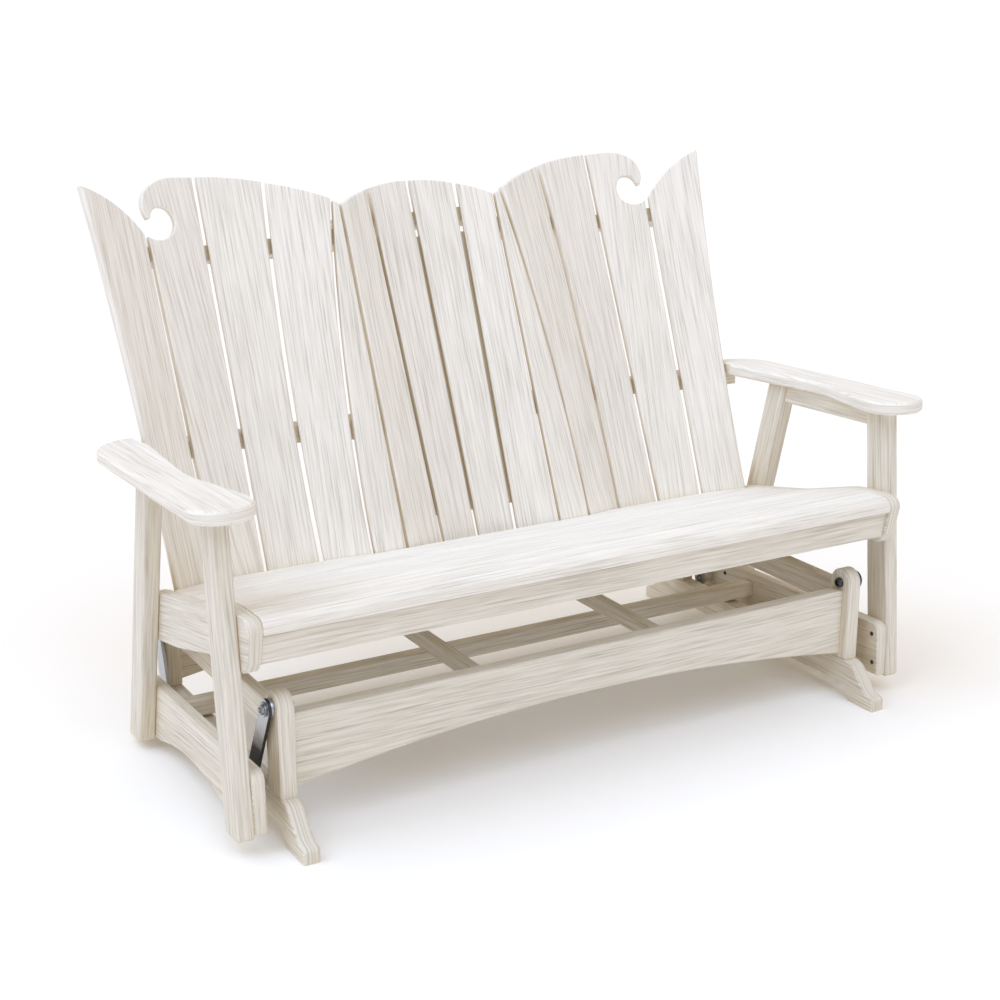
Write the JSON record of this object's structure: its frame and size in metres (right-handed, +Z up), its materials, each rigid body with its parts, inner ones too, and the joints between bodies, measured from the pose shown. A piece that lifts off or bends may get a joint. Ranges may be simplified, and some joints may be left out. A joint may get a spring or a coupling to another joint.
{
  "type": "glider bench",
  "caption": "Slatted garden glider bench with a fanned wave-cut back, curved armrests and a contoured seat that swings on steel links from a low standing base.",
  "frame": {"origin": "on the floor, at the centre of the overall length and depth", "axes": "+X along the bench to the viewer's right from the front, -Y is the front, +Z is up"},
  "size_m": [1.5718, 0.8867, 1.0712],
  "materials": {
    "poly_lumber": "off-white plastic lumber with fine embossed wood grain",
    "link_steel": "bright zinc-plated steel strap",
    "dark_fasteners": "black-coated bolts and screws"
  },
  "bodies": {
    "base": {"foot_board_left": "poly_lumber", "foot_board_right": "poly_lumber", "mid_brace_left": "poly_lumber", "mid_brace_right": "poly_lumber", "post_bolts": "dark_fasteners", "post_front_left": "poly_lumber", "post_front_right": "poly_lumber", "post_rear_left": "poly_lumber", "post_rear_right": "poly_lumber", "side_rail_left": "poly_lumber", "side_rail_right": "poly_lumber", "stretcher_front": "poly_lumber", "stretcher_rear": "poly_lumber"},
    "front_left_link": {"link_front_left": "link_steel"},
    "front_right_link": {"link_front_right": "link_steel"},
    "rear_left_link": {"link_rear_left": "link_steel"},
    "rear_right_link": {"link_rear_right": "link_steel"},
    "seat": {"arm_rail_left": "poly_lumber", "arm_rail_right": "poly_lumber", "armrest_left": "poly_lumber", "armrest_right": "poly_lumber", "back_rail_arm_level": "poly_lumber", "back_rail_centre": "poly_lumber", "back_rail_fan_left": "poly_lumber", "back_rail_fan_right": "poly_lumber", "back_rail_lower": "poly_lumber", "centre_battens": "poly_lumber", "glide_board_left": "poly_lumber", "glide_board_right": "poly_lumber", "glide_bolts": "dark_fasteners", "glide_stretcher": "poly_lumber", "leg_front_left": "poly_lumber", "leg_front_right": "poly_lumber", "leg_rear_left": "poly_lumber", "leg_rear_right": "poly_lumber", "seat_apron": "poly_lumber", "seat_bearer": "poly_lumber", "seat_board_1": "poly_lumber", "seat_board_2": "poly_lumber", "seat_board_3": "poly_lumber", "seat_board_4": "poly_lumber", "seat_stringer_left": "poly_lumber", "seat_stringer_right": "poly_lumber", "slat_centre_inner_left": "poly_lumber", "slat_centre_inner_right": "poly_lumber", "slat_centre_outer_left": "poly_lumber", "slat_centre_outer_right": "poly_lumber", "slat_fan_inner_left": "poly_lumber", "slat_fan_inner_right": "poly_lumber", "slat_fan_second_left": "poly_lumber", "slat_fan_second_right": "poly_lumber", "slat_fan_third_left": "poly_lumber", "slat_fan_third_right": "poly_lumber", "slat_hook_left": "poly_lumber", "slat_hook_right": "poly_lumber", "slat_wave_left": "poly_lumber", "slat_wave_right": "poly_lumber"}
  },
  "joints": [
    {"name": "front_left_swing", "type": "hinge", "parent": "base", "child": "front_left_link", "pos_m": [-0.668, -0.3254, 0.248], "axis": [-1, 0, 0], "range_deg": [-8, 16]},
    {"name": "front_right_swing", "type": "hinge", "parent": "base", "child": "front_right_link", "pos_m": [0.668, -0.3254, 0.248], "axis": [-1, 0, 0], "range_deg": [-8, 16]},
    {"name": "rear_left_swing", "type": "hinge", "parent": "base", "child": "rear_left_link", "pos_m": [-0.668, 0.2486, 0.248], "axis": [-1, 0, 0], "range_deg": [-8, 16]},
    {"name": "rear_right_swing", "type": "hinge", "parent": "base", "child": "rear_right_link", "pos_m": [0.668, 0.2486, 0.248], "axis": [-1, 0, 0], "range_deg": [-8, 16]},
    {"name": "seat_glide", "type": "hinge", "parent": "front_left_link", "child": "seat", "pos_m": [-0.668, -0.25049, 0.10098], "axis": [-1, 0, 0], "range_deg": [-20, 10]}
  ],
  "couplings": [
    {"joint": "front_left_swing", "follows": "seat_glide", "ratio": -0.79504},
    {"joint": "front_right_swing", "follows": "seat_glide", "ratio": -0.79504},
    {"joint": "rear_left_swing", "follows": "seat_glide", "ratio": -0.7754},
    {"joint": "rear_right_swing", "follows": "seat_glide", "ratio": -0.7754}
  ]
}
